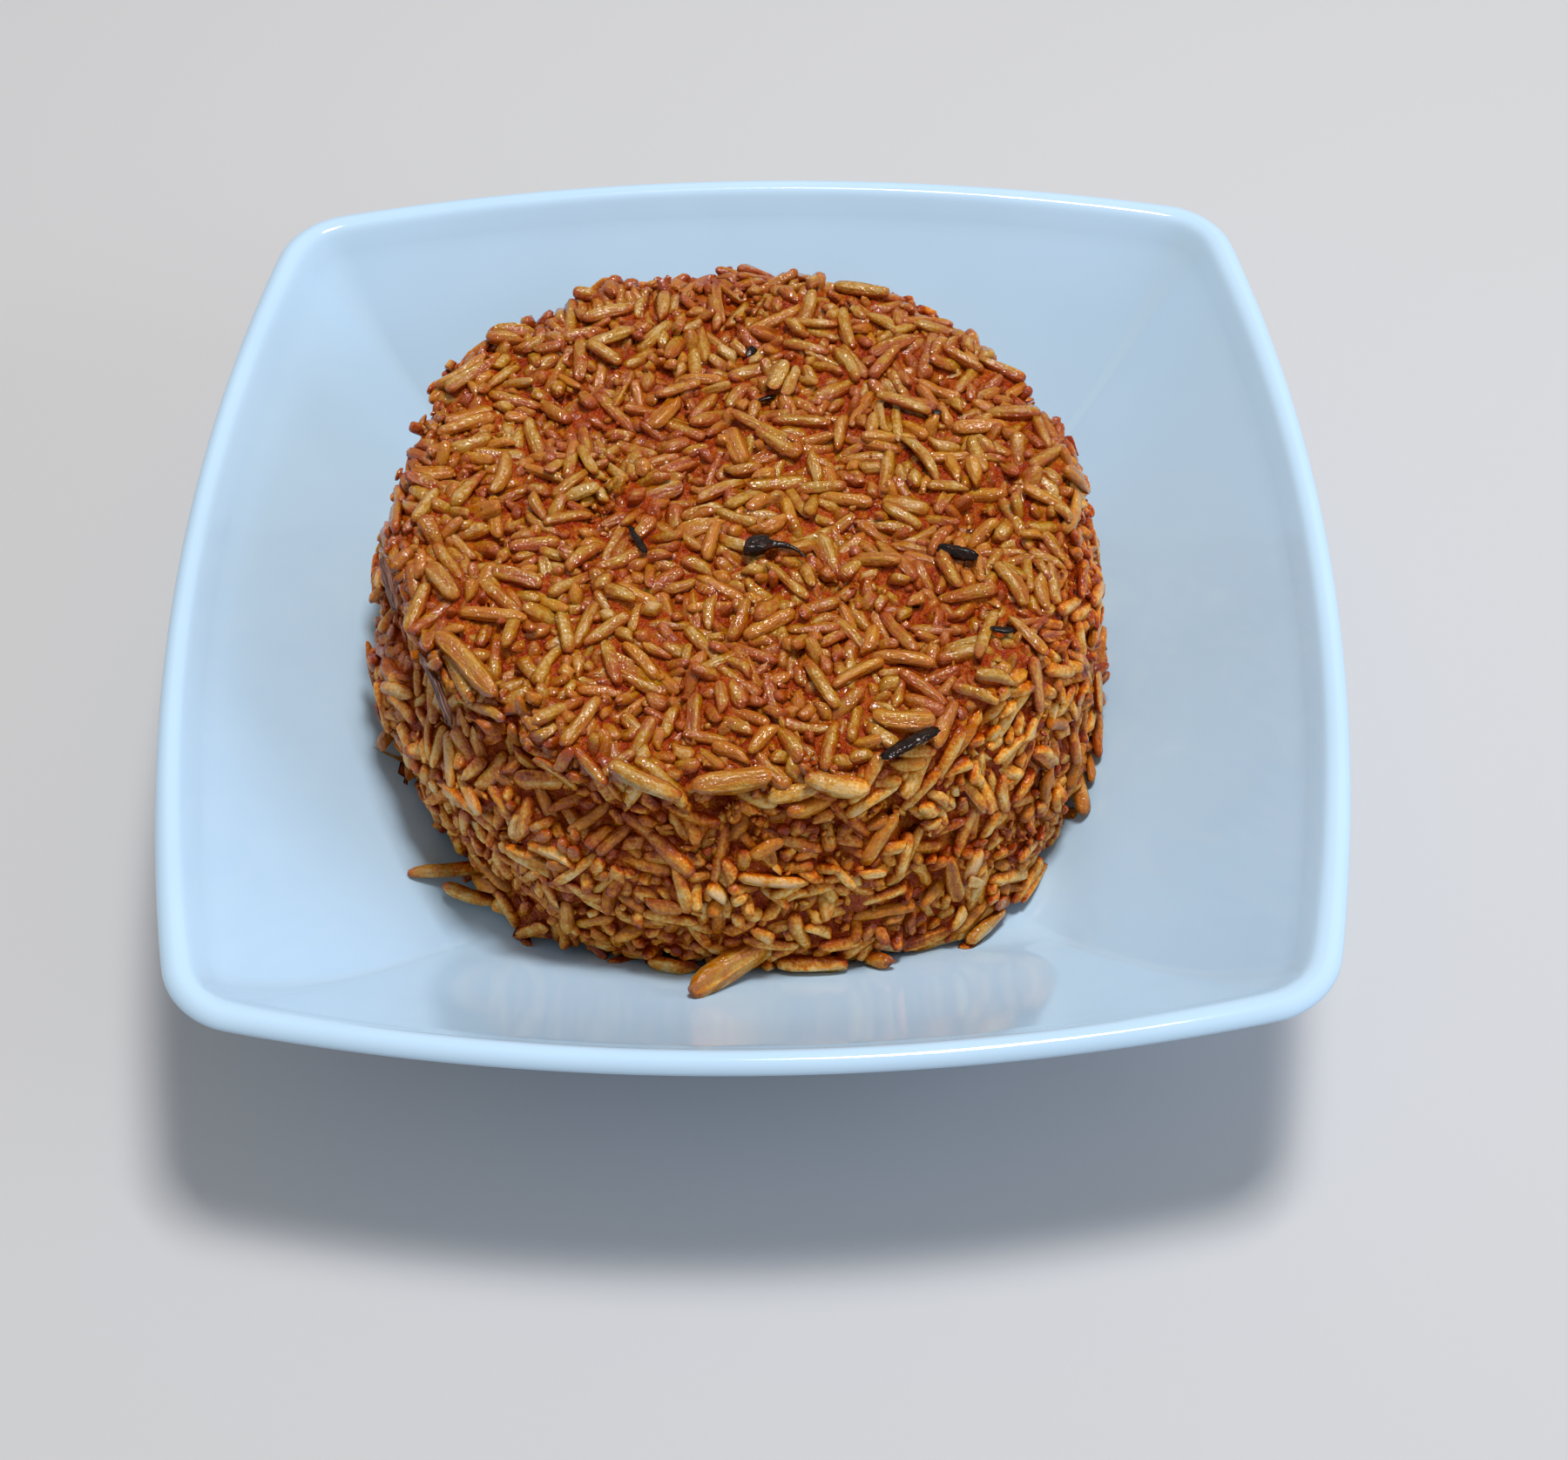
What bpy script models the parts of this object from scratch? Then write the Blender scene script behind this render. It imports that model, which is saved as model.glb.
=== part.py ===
"""Jollof rice turned out of a round mould into a deep square plate with bowed sides.

Two solids, in metres, +Z up: the glazed plate, and the heap of rice as one body out to its uneven
outline. The origin is the middle of the plate's foot, on the table. The heap lies a little off the
plate's centre and leans on the plate's four sloping walls.
"""

import math

import bmesh
import bpy
from mathutils import Matrix, Vector, noise

# The plate. A "half" is the distance from the plate's centre to the middle of a side.
RIM_HALF = 0.0900  # outer edge of the rim
RIM_BOW = 0.0096  # how far the middle of a side stands out past its corners
RIM_CORNER_RADIUS = 0.0135
RIM_THICKNESS = 0.0042
PLATE_HEIGHT = 0.0460  # from the table to the top of the rim
FLOOR_Z = 0.0080  # the flat floor that carries the food
FLOOR_HALF = 0.0460
FLOOR_CORNER_RADIUS = 0.0015  # the crease between two walls starts almost sharp
FLOOR_FILLET = 0.0060  # how far the bend between floor and wall reaches each way
WALL_THICKNESS = 0.0046
WALL_HOLLOW = 0.0028  # how far the middle of a wall sinks below a straight line
OUTER_HOLLOW = 0.0016  # the same for the outside, which is drawn in less
FOOT_HEIGHT = 0.0030
FOOT_WIDTH = 0.0040
FOOT_CORNER_RADIUS = 0.0080
FOOT_ROUNDING = 0.0006

# The heap, a block that widens to its foot. Heights are above the table.
HEAP_TOP_Z = 0.0570
HEAP_TOP_CENTRE = (-0.0036, 0.0040)
HEAP_TOP_RADIUS = 0.0545
HEAP_FOOT_CENTRE = (-0.0020, 0.0022)
HEAP_FOOT_RADIUS = 0.0608
HEAP_BULGE = 0.0016  # how far the side swells between top and foot
HEAP_FRONT_FALL = 0.0022  # how much lower the top lies at its front edge
LUMP_HEIGHT = 0.0015  # the skin swells and sinks this much
LUMP_SIZE = 0.0095
GAP = 0.00045  # the heap's clearance over the plate, measured upwards

# Hollows in the heap's side, where grains have come away: azimuth and spread in degrees, drop
# below the top, height, depth
HOLLOWS = [
    (238.0, 62.0, 0.0095, 0.0042, 0.0030),
    (196.0, 30.0, 0.0110, 0.0060, 0.0016),
    (205.0, 34.0, 0.0390, 0.0070, 0.0030),
    (262.0, 16.0, 0.0420, 0.0060, 0.0022),
    (352.0, 12.0, 0.0260, 0.0035, 0.0020),
]

# Grains that have slid down to the foot: centre in millimetres from the plate's middle and above
# the table, heading and rise in degrees, length in millimetres
STRAY_GRAINS = [
    (-3.7, -58.6, 22.0, 42.0, -9.0, 16.0),
    (8.6, -55.4, 17.6, -2.0, 2.0, 11.5),
    (-12.6, -54.6, 16.8, -16.0, 9.0, 10.0),
    (18.6, -54.4, 17.0, -32.0, 20.0, 9.0),
    (-48.6, -35.6, 14.4, 16.0, -18.0, 13.0),
    (-44.8, -38.6, 12.6, 0.0, -30.0, 11.0),
    (35.6, -45.0, 11.6, 48.0, -10.0, 11.0),
    (42.4, -36.4, 11.4, 58.0, 4.0, 11.0),
    (51.2, -22.4, 16.4, 100.0, 20.0, 12.0),
    (54.6, -12.0, 19.0, 92.0, 24.0, 13.0),
    (55.6, 0.5, 22.0, 84.0, 30.0, 13.0),
    (54.2, 12.0, 25.0, 100.0, 20.0, 12.0),
    (-58.6, -15.0, 22.0, 70.0, -10.0, 10.0),
]
GRAIN_THICKNESS = 3.4

# How finely the curved surfaces are faceted
POINTS_PER_SIDE = 15
POINTS_PER_CORNER = 6
LIP_STEPS = 8
WALL_STEPS = 6
HEAP_SEGMENTS = 64
HEAP_FACET = 0.0046


def clear_scene():
    for obj in list(bpy.data.objects):
        bpy.data.objects.remove(obj)


def new_collection(name):
    collection = bpy.data.collections.new(name)
    bpy.context.scene.collection.children.link(collection)
    return collection


def material(name, colour, roughness, coat=0.0):
    """A non-metal Principled BSDF. The colour is linear."""
    made = bpy.data.materials.new(name)
    made.use_nodes = True
    shader = made.node_tree.nodes["Principled BSDF"]
    shader.inputs["Base Color"].default_value = (*colour, 1.0)
    shader.inputs["Roughness"].default_value = roughness
    shader.inputs["Metallic"].default_value = 0.0
    shader.inputs["Coat Weight"].default_value = coat
    return made


def evenly(start, end, count):
    """That many numbers from start to end, both included."""
    return [start + (end - start) * i / (count - 1) for i in range(count)]


def bowed_square(half, bow, corner_radius):
    """Points anticlockwise round a square whose sides are arcs and whose corners are round."""
    reach = half - bow  # the sides would meet at (reach, reach)
    side_radius = (reach**2 + bow**2) / (2 * bow)
    side_centre = half - side_radius
    # The corner's arc, centred at (inset, inset), touches both sides from inside
    span = (side_radius - corner_radius) ** 2
    inset = (side_centre + math.sqrt(2 * span - side_centre**2)) / 2
    swing = math.atan2(inset, inset - side_centre)
    quarter = [
        Vector((side_centre + side_radius * math.cos(a), side_radius * math.sin(a)))
        for a in evenly(-swing, swing, POINTS_PER_SIDE)
    ]
    quarter += [
        Vector((inset + corner_radius * math.cos(a), inset + corner_radius * math.sin(a)))
        for a in evenly(swing, math.pi / 2 - swing, POINTS_PER_CORNER + 2)[1:-1]
    ]
    return [Matrix.Rotation(turn * math.pi / 2, 2) @ p for turn in range(4) for p in quarter]


def loft(sections):
    """A closed body through rings of equal length. Its first and last ring are capped."""
    body = bmesh.new()
    rings = [[body.verts.new((p.x, p.y, z)) for p in points] for points, z in sections]
    count = len(rings[0])
    for lower, upper in zip(rings, rings[1:]):
        for i in range(count):
            j = (i + 1) % count
            body.faces.new((lower[i], lower[j], upper[j], upper[i]))
    for ring, z in ((rings[0], sections[0][1]), (rings[-1], sections[-1][1])):
        hub = body.verts.new((0, 0, z))
        for i in range(count):
            body.faces.new((ring[i], ring[(i + 1) % count], hub))
    bmesh.ops.recalc_face_normals(body, faces=body.faces)
    return body


def add_object(name, body, collection, finish=None):
    """Makes an object of a bmesh, shaded smooth apart from edges over 40 degrees."""
    mesh = bpy.data.meshes.new(name)
    body.to_mesh(mesh)
    body.free()
    mesh.shade_smooth()
    mesh.set_sharp_from_angle(angle=math.radians(40))
    obj = bpy.data.objects.new(name, mesh)
    collection.objects.link(obj)
    if finish:
        mesh.materials.append(finish)
    return obj


def add_cutter(name, body, cutters):
    obj = add_object(name, body, cutters)
    obj.hide_render = True
    obj.display_type = "WIRE"
    return obj


def wall_profile():
    """(share of the way out, half, z) up the plate's inside, from the floor's edge to the rim."""
    top_half = RIM_HALF - RIM_THICKNESS
    top_z = PLATE_HEIGHT - RIM_THICKNESS / 2
    rise = (top_z - FLOOR_Z) / (top_half - FLOOR_HALF)
    profile = []
    for t in (0.0, 0.25, 0.5, 0.75):  # the bend, as a parabola from the floor into the wall
        half = FLOOR_HALF + FLOOR_FILLET * (2 * t - 1)
        profile.append((half, FLOOR_Z + rise * FLOOR_FILLET * t**2))
    for t in evenly(0.0, 1.0, WALL_STEPS):
        half = FLOOR_HALF + FLOOR_FILLET + (top_half - FLOOR_HALF - FLOOR_FILLET) * t
        sink = WALL_HOLLOW * math.sin(math.pi * t)
        profile.append((half, FLOOR_Z + rise * (half - FLOOR_HALF) - sink))
    return [((h - FLOOR_HALF) / (top_half - FLOOR_HALF), h, z) for h, z in profile]


def inner_section(share, half, z):
    """The plate's inside at one height: the bow grows with the height, the corner opens last."""
    share = max(share, 0.0)
    bow = RIM_BOW * max(share, 0.05)
    opened = (RIM_CORNER_RADIUS - RIM_THICKNESS - FLOOR_CORNER_RADIUS) * share**4
    return bowed_square(half, bow, FLOOR_CORNER_RADIUS + opened), z


def plate_sections():
    """Rings from the floor out and up to the rim, over it, and down outside to the foot."""
    sections = [inner_section(*station) for station in wall_profile()]
    lip_radius = RIM_THICKNESS / 2
    lip_half = RIM_HALF - lip_radius
    lip_z = PLATE_HEIGHT - lip_radius
    for a in evenly(math.pi, 0.0, LIP_STEPS + 1)[1:]:
        out = lip_radius * math.cos(a)
        points = bowed_square(lip_half + out, RIM_BOW, RIM_CORNER_RADIUS - lip_radius + out)
        sections.append((points, lip_z + lip_radius * math.sin(a)))
    foot_half = FLOOR_HALF + FOOT_WIDTH
    foot_bow = RIM_BOW * 0.3
    under_z = FLOOR_Z - WALL_THICKNESS
    for t in evenly(0.0, 1.0, WALL_STEPS)[1:]:  # the outer wall, drawn in to the foot
        half = RIM_HALF + (foot_half + FOOT_ROUNDING - RIM_HALF) * t
        z = lip_z + (under_z - lip_z) * t - OUTER_HOLLOW * math.sin(math.pi * t)
        corner = RIM_CORNER_RADIUS + (FOOT_CORNER_RADIUS - RIM_CORNER_RADIUS) * t
        sections.append((bowed_square(half, RIM_BOW + (foot_bow - RIM_BOW) * t, corner), z))
    for step_in, z in (
        (0.0, under_z - FOOT_HEIGHT * 0.7),
        (FOOT_ROUNDING, 0.0),
        (FOOT_WIDTH - FOOT_ROUNDING, 0.0),
        (FOOT_WIDTH, FOOT_HEIGHT * 0.9),
        (FOOT_WIDTH + FOOT_ROUNDING * 2, FOOT_HEIGHT),
    ):
        points = bowed_square(foot_half - step_in, foot_bow, FOOT_CORNER_RADIUS - step_in)
        sections.append((points, z))
    return sections


def make_plate(collection):
    glaze = material("white_glaze", (0.60, 0.75, 0.86), 0.12, coat=1.0)
    return add_object("plate", loft(plate_sections()), collection, glaze)


def make_plate_hollow(cutters):
    """The space inside the plate, kept clear of it by the gap and carried on up over the heap."""
    sections = [inner_section(*station) for station in wall_profile()]
    sections = [(points, z + GAP) for points, z in sections]
    sections.append((sections[-1][0], HEAP_TOP_Z * 1.5))
    return add_cutter("hollow_of_plate", loft(sections), cutters)


def even_skin(body, collection):
    """The same body with facets of one size all over, as a new bmesh."""
    obj = add_object("block", body, collection)
    remesh = obj.modifiers.new("even_skin", "REMESH")
    remesh.mode = "VOXEL"
    remesh.voxel_size = HEAP_FACET
    evaluated = obj.evaluated_get(bpy.context.evaluated_depsgraph_get())
    skin = bmesh.new()
    skin.from_mesh(evaluated.to_mesh())
    bpy.data.objects.remove(obj)
    return skin


def hollow_depth(azimuth, drop):
    """How far the side falls in at an azimuth in degrees and a drop below the top."""
    depth = 0.0
    for centre, spread, centre_drop, height, deepest in HOLLOWS:
        aside = ((azimuth - centre + 180.0) % 360.0 - 180.0) / spread
        above = (drop - centre_drop) / height
        depth += deepest * math.exp(-(aside**2) - above**2)
    return depth


def shape_heap(skin):
    """Leans the round block towards its foot's centre, swells its side, then hollows and lumps it."""
    skin.normal_update()
    moved = {}
    for vert in skin.verts:
        x, y, z = vert.co
        share = min(max((HEAP_TOP_Z - z) / (HEAP_TOP_Z - FLOOR_Z), 0.0), 1.0)
        centre = Vector((*HEAP_TOP_CENTRE, 0.0)).lerp(Vector((*HEAP_FOOT_CENTRE, 0.0)), share)
        radius = math.hypot(x, y)
        edge = min(radius / HEAP_TOP_RADIUS, 1.0)
        side = Vector((x, y, 0.0)).normalized() * edge**8
        azimuth = math.degrees(math.atan2(y, x))
        place = vert.co + centre
        place += side * (HEAP_BULGE * math.sin(math.pi * share))
        place -= side * hollow_depth(azimuth, HEAP_TOP_Z - z)
        place.z -= HEAP_FRONT_FALL * max(-y / HEAP_TOP_RADIUS, 0.0) ** 2 * (1 - share)
        lump = noise.noise(vert.co / LUMP_SIZE) + 0.6 * noise.noise(vert.co * 2.1 / LUMP_SIZE)
        moved[vert] = place + vert.normal * (LUMP_HEIGHT * lump)
    for vert, place in moved.items():
        vert.co = place


def make_strays(cutters):
    """The slid grains, as plump spindles that reach into the heap or lean on it."""
    body = bmesh.new()
    for x, y, z, heading, rise, length in STRAY_GRAINS:
        place = Matrix.Translation((x / 1000, y / 1000, z / 1000))
        turn = Matrix.Rotation(math.radians(heading), 4, "Z")
        tilt = Matrix.Rotation(math.radians(-rise), 4, "Y")
        half_thickness = GRAIN_THICKNESS / 2000
        size = Matrix.Diagonal((length / 2000, half_thickness, half_thickness, 1.0))
        bmesh.ops.create_uvsphere(
            body, u_segments=8, v_segments=6, radius=1.0, matrix=place @ turn @ tilt @ size
        )
    return add_cutter("stray_grains", body, cutters)


def boolean(obj, other, operation):
    modifier = obj.modifiers.new(operation.lower(), "BOOLEAN")
    modifier.operation = operation
    modifier.object = other
    modifier.use_self = operation == "UNION"


def make_heap(collection, cutters):
    block = bmesh.new()
    bmesh.ops.create_cone(
        block,
        cap_ends=True,
        segments=HEAP_SEGMENTS,
        radius1=HEAP_FOOT_RADIUS,
        radius2=HEAP_TOP_RADIUS,
        depth=HEAP_TOP_Z,
        matrix=Matrix.Translation((0.0, 0.0, HEAP_TOP_Z / 2)),
    )
    skin = even_skin(block, cutters)
    shape_heap(skin)
    cooked = material("jollof_rice", (0.47, 0.19, 0.05), 0.38)
    heap = add_object("rice_heap", skin, collection, cooked)
    boolean(heap, make_strays(cutters), "UNION")
    boolean(heap, make_plate_hollow(cutters), "INTERSECT")
    return heap


def main():
    clear_scene()
    parts = new_collection("jollof_rice_on_a_plate")
    cutters = new_collection("cutters")
    make_plate(parts)
    make_heap(parts, cutters)


main()
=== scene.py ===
# %% [markdown]
# # A mound of jollof rice on its square plate
#
# Jollof rice is long-grain rice boiled in a sauce of tomato, red pepper and oil, which stains every
# grain tan to orange. This portion was pressed into a round mould and turned out into a deep square
# plate of stoneware with a pale blue glaze.
#
# The lesson goes from the outside in: the frame that gives every size, the camera, the plate, and then
# the rice, which is modelled a grain at a time and packed the way a mould packs it.

# %% Load the frame
import math

import bpy
import numpy as np
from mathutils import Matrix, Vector, noise
from mathutils.bvhtree import BVHTree
from mathutils.kdtree import KDTree


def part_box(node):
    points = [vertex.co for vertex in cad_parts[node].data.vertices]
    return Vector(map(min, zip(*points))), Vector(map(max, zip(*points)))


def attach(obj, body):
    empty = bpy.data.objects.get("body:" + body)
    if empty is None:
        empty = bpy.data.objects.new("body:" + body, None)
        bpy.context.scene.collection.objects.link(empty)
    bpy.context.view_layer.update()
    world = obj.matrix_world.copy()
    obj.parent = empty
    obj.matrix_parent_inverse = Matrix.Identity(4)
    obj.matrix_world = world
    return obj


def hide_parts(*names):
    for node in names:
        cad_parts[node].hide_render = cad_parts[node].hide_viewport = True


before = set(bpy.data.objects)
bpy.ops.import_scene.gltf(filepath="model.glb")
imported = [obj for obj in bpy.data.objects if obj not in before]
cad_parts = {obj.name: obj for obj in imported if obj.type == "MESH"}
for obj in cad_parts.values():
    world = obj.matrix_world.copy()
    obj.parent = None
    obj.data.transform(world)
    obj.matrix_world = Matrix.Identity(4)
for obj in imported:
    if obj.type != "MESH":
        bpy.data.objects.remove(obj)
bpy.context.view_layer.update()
MM = 0.001
WELD = 0.02 * MM
heap_low, heap_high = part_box("rice_heap")
plate_low, plate_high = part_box("plate")
print("plate", [round(s / MM, 1) for s in plate_high - plate_low], "mm")
print("heap", [round(s / MM, 1) for s in heap_high - heap_low], "mm")

# %% [markdown]
# ## Small helpers
#
# An operator works on whatever is selected, so each step starts with nothing selected. Vertices are
# then picked in code by where they are. Colours are written as sRGB hex values, as a paint card gives
# them, and one function turns them into the linear numbers that a shader adds up. One more function
# adds a shader node and gives back its output, ready to be an input of the next node.


# %% Helpers
def deselect_all():
    bpy.ops.object.select_all(action="DESELECT")


def make_active(obj):
    """Selects one object alone, ready for an operator."""
    deselect_all()
    obj.select_set(True)
    bpy.context.view_layer.objects.active = obj


def edit_all(obj):
    """Opens one object in edit mode with all of it selected."""
    make_active(obj)
    bpy.ops.object.mode_set(mode="EDIT")
    bpy.ops.mesh.select_all(action="SELECT")


def pick_vertices(obj, test):
    """In edit mode, selects the vertices that pass the test."""
    bpy.ops.object.mode_set(mode="OBJECT")
    for element in (*obj.data.polygons, *obj.data.edges):
        element.select = False
    for vertex in obj.data.vertices:
        vertex.select = test(vertex)
    bpy.ops.object.mode_set(mode="EDIT")


def apply_all(obj):
    """Applies the object's modifiers, in order."""
    make_active(obj)
    for modifier in list(obj.modifiers):
        bpy.ops.object.modifier_apply(modifier=modifier.name)


def copy_of_node(node, name):
    """A loose copy of a CAD node, welded into one skin."""
    make_active(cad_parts[node])
    bpy.ops.object.duplicate()
    copy = bpy.context.object
    copy.name = copy.data.name = name
    copy.parent = None
    for stale in [key for key in copy.keys() if key.startswith("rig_")]:
        del copy[stale]
    edit_all(copy)
    bpy.ops.mesh.remove_doubles(threshold=WELD)
    bpy.ops.object.mode_set(mode="OBJECT")
    copy.data.materials.clear()
    return copy


def linear(hex_colour):
    """An sRGB hex colour such as "#c9996b" as linear red, green, blue and alpha."""
    values = [int(hex_colour[i : i + 2], 16) / 255 for i in (1, 3, 5)]
    return [v / 12.92 if v <= 0.04045 else ((v + 0.055) / 1.055) ** 2.4 for v in values] + [1.0]


def add_node(tree, kind, inputs=None, stops=None, output=0, **settings):
    """Adds a ShaderNode of a kind. An input given a socket is linked, and any other is set."""
    node = tree.nodes.new("ShaderNode" + kind)
    for name, value in settings.items():
        setattr(node, name, value)
    for name, value in (inputs or {}).items():
        if isinstance(value, bpy.types.NodeSocket):
            tree.links.new(value, node.inputs[name])
        else:
            node.inputs[name].default_value = value
    if stops:
        ramp = node.color_ramp.elements
        while len(ramp) < len(stops):
            ramp.new(0.5)
        for element, (position, colour) in zip(ramp, stops):
            element.position = position
            element.color = linear(colour)
    return node.outputs[output] if len(node.outputs) else None


def new_material(name):
    """An empty node material and its tree."""
    made = bpy.data.materials.new(name)
    made.use_nodes = True
    made.node_tree.nodes.clear()
    return made, made.node_tree


def finish_material(tree, inputs):
    """Adds the Principled BSDF and the output."""
    shader = add_node(tree, "BsdfPrincipled", inputs)
    add_node(tree, "OutputMaterial", {"Surface": shader})
    print("material of", len(tree.nodes), "nodes")


def per(size_mm):
    """A texture scale at which one feature of the pattern is this many millimetres."""
    return 1.0 / (size_mm * MM)


# %% [markdown]
# ## Camera, floor and light
#
# The camera looks down at the plate at about 50 degrees, from the middle of its front, as a diner
# does before sitting down. It aims at the middle of the foot and leans about one degree.
#
# One soft box hangs above, a little behind and to the right, and makes the small broken highlights on
# the wet grains. A weaker, cooler one fills in from the right, as a window would, and is kept out
# of reflections so that it draws no streak in the glaze. A pale room around them softens the shadows.

# %% Camera
CAMERA_LENS = 59.911
SENSOR_WIDTH = 36.0
CAMERA_PLACE = (8.234 * MM, -265.251 * MM, 352.585 * MM)
CAMERA_TURN = [math.radians(angle) for angle in (37.1918, 0.7759, -0.1702)]

camera_data = bpy.data.cameras.new("camera")
camera_data.lens = CAMERA_LENS
camera_data.sensor_width = SENSOR_WIDTH
camera_data.sensor_fit = "HORIZONTAL"
camera = bpy.data.objects.new("camera", camera_data)
camera.location = CAMERA_PLACE
camera.rotation_euler = CAMERA_TURN
bpy.context.scene.collection.objects.link(camera)
bpy.context.scene.camera = camera
print("camera", round(camera.location.length, 3), "m from the foot of the plate")

# %% Floor and lights
FLOOR_SIZE = 4.0
ROOM_COLOUR = "#f3f1ec"
ROOM_STRENGTH = 0.46

deselect_all()
bpy.ops.mesh.primitive_plane_add(size=FLOOR_SIZE, location=(0.0, 0.0, 0.0))
floor = bpy.context.object
floor.name = "floor"
paper, tree = new_material("matt_paper_backdrop")
finish_material(tree, {"Base Color": linear("#bfc1c6"), "Roughness": 0.9})
floor.data.materials.append(paper)


def add_soft_box(name, place, size, watts, colour, in_reflections=True):
    """A square area light that faces the plate."""
    data = bpy.data.lights.new(name, "AREA")
    data.shape = "SQUARE"
    data.size = size
    data.energy = watts
    data.color = linear(colour)[:3]
    light = bpy.data.objects.new(name, data)
    light.location = place
    light.rotation_euler = (-Vector(place)).to_track_quat("-Z", "Y").to_euler()
    light.visible_glossy = in_reflections
    bpy.context.scene.collection.objects.link(light)


add_soft_box("soft_box_above", (0.12, 0.09, 1.0), 0.2, 8.2, "#fffaf4")
add_soft_box("soft_box_right", (1.0, -0.25, 0.45), 0.6, 4.0, "#dcecff", in_reflections=False)

world = bpy.data.worlds.new("pale_room")
world.use_nodes = True
world.node_tree.nodes["Background"].inputs["Color"].default_value = linear(ROOM_COLOUR)
world.node_tree.nodes["Background"].inputs["Strength"].default_value = ROOM_STRENGTH
bpy.context.scene.world = world
bpy.context.scene.view_settings.view_transform = "Standard"

# %% [markdown]
# ## The plate
#
# The plate is pressed stoneware under a pale blue glaze. Glaze rounds every edge that it
# covers, so the creases between the walls and the roll of the rim are soft. The CAD plate has the
# right form in flat facets. A copy of it is welded, its triangles are joined back into quads, and two
# levels of subdivision bend the facets into the smooth skin that glaze has.

# %% Model the plate
QUAD_ANGLE = math.radians(60)  # two triangles that differ by less than this are joined

plate = copy_of_node("plate", "glazed_plate")
edit_all(plate)
bpy.ops.mesh.tris_convert_to_quads(face_threshold=QUAD_ANGLE, shape_threshold=QUAD_ANGLE)
bpy.ops.object.mode_set(mode="OBJECT")
smooth = plate.modifiers.new("glaze_skin", "SUBSURF")
smooth.levels = smooth.render_levels = 2
apply_all(plate)
bpy.ops.object.shade_smooth()
print("plate", len(plate.data.polygons), "faces")

# %% [markdown]
# ## The inside of the rim
#
# Glaze runs down into the corner between the rim and the wall and fills it, so that the wall flows up
# into the rim with no line between them. The vertices on that side are picked by the way they face,
# and smoothed many times, since each round moves a vertex only halfway to its neighbours.

# %% Soften the inside of the rim
LIP_FOOT = 42.0 * MM  # the wall below this height stays as it is
LIP_ROUNDS = 45

pick_vertices(plate, lambda v: v.co.z > LIP_FOOT and v.normal.xy.dot(v.co.xy) < 0)
bpy.ops.mesh.vertices_smooth(factor=0.5, repeat=LIP_ROUNDS)
bpy.ops.object.mode_set(mode="OBJECT")
print("smoothed", sum(vertex.select for vertex in plate.data.vertices), "vertices of the rim")

# %% [markdown]
# ## Glaze
#
# Stoneware with a fired feldspar glaze: glassy, so it mirrors sharply (IOR 1.5), over a body that
# scatters light evenly. Its blue drifts a little from place to place. The pull of the glaze leaves
# waves some 14 mm across, too shallow to measure and seen only in how reflections bend, so they are
# bump and not shape.

# %% Glaze
glaze, tree = new_material("glazed_stoneware")
place = add_node(tree, "TexCoord", output="Object")
cloud = add_node(tree, "TexNoise", {"Vector": place, "Scale": per(30)})
tint = add_node(tree, "ValToRGB", {"Fac": cloud}, stops=[(0.3, "#b4d2ed"), (0.7, "#b8d6f1")])
wave = add_node(tree, "TexNoise", {"Vector": place, "Scale": per(14), "Detail": 1.0})
bump = add_node(tree, "Bump", {"Height": wave, "Strength": 0.04, "Distance": 0.001})
finish_material(tree, {"Base Color": tint, "Roughness": 0.09, "IOR": 1.5, "Normal": bump})
plate.data.materials.append(glaze)
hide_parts("plate")
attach(plate, "root")

# %% [markdown]
# ## How deep a point lies in the heap
#
# The grains have to fill the moulded heap and not poke out of it, so the packing needs one question
# answered many times: how far is this point from the heap's surface, and which way is out? The
# answers are worked out once on a grid 1.5 mm apart and read between its points after that. One
# field measures to the whole skin of the heap. The other leaves out the underside, where the
# heap rests on the plate, because only the rest is ever seen.

# %% Distance fields
GRID_STEP = 1.5 * MM
GRID_MARGIN = 4 * MM
UNDERSIDE = -0.55  # a face whose normal points further down than this rests on the plate

heap_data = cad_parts["rice_heap"].data
heap_points = [vertex.co.copy() for vertex in heap_data.vertices]
heap_faces = [tuple(face.vertices) for face in heap_data.polygons]
seen_faces = [tuple(face.vertices) for face in heap_data.polygons if face.normal.z > UNDERSIDE]
skin = BVHTree.FromPolygons(heap_points, heap_faces)
seen_skin = BVHTree.FromPolygons(heap_points, seen_faces)

grid_low = np.array(heap_low) - GRID_MARGIN
grid_count = np.ceil((np.array(heap_high) + GRID_MARGIN - grid_low) / GRID_STEP).astype(int) + 1
grid_ticks = [grid_low[i] + GRID_STEP * np.arange(grid_count[i]) for i in range(3)]


def column_crossings(x, y):
    """The heights at which a vertical line crosses the heap's skin."""
    crossings = []
    z = heap_high.z + MM
    while True:
        hit = skin.ray_cast(Vector((x, y, z)), Vector((0, 0, -1)))[0]
        if hit is None:
            return np.array(crossings)
        crossings.append(hit.z)
        z = hit.z - 0.01 * MM


def measure_fields():
    """Two grids of distances, in metres and positive inside: to the whole skin, to the seen skin."""
    inside = np.zeros(grid_count)
    under = np.zeros(grid_count)
    for i, x in enumerate(grid_ticks[0]):
        for j, y in enumerate(grid_ticks[1]):
            crossings = column_crossings(x, y)
            for k, z in enumerate(grid_ticks[2]):
                sign = 1.0 if np.sum(crossings > z) % 2 else -1.0
                inside[i, j, k] = sign * skin.find_nearest((x, y, z))[3]
                under[i, j, k] = sign * seen_skin.find_nearest((x, y, z))[3]
    return inside, under


inside_grid, under_grid = measure_fields()
print("field grid", list(grid_count), "heap is", round(inside_grid.max() / MM, 1), "mm deep at most")

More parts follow.
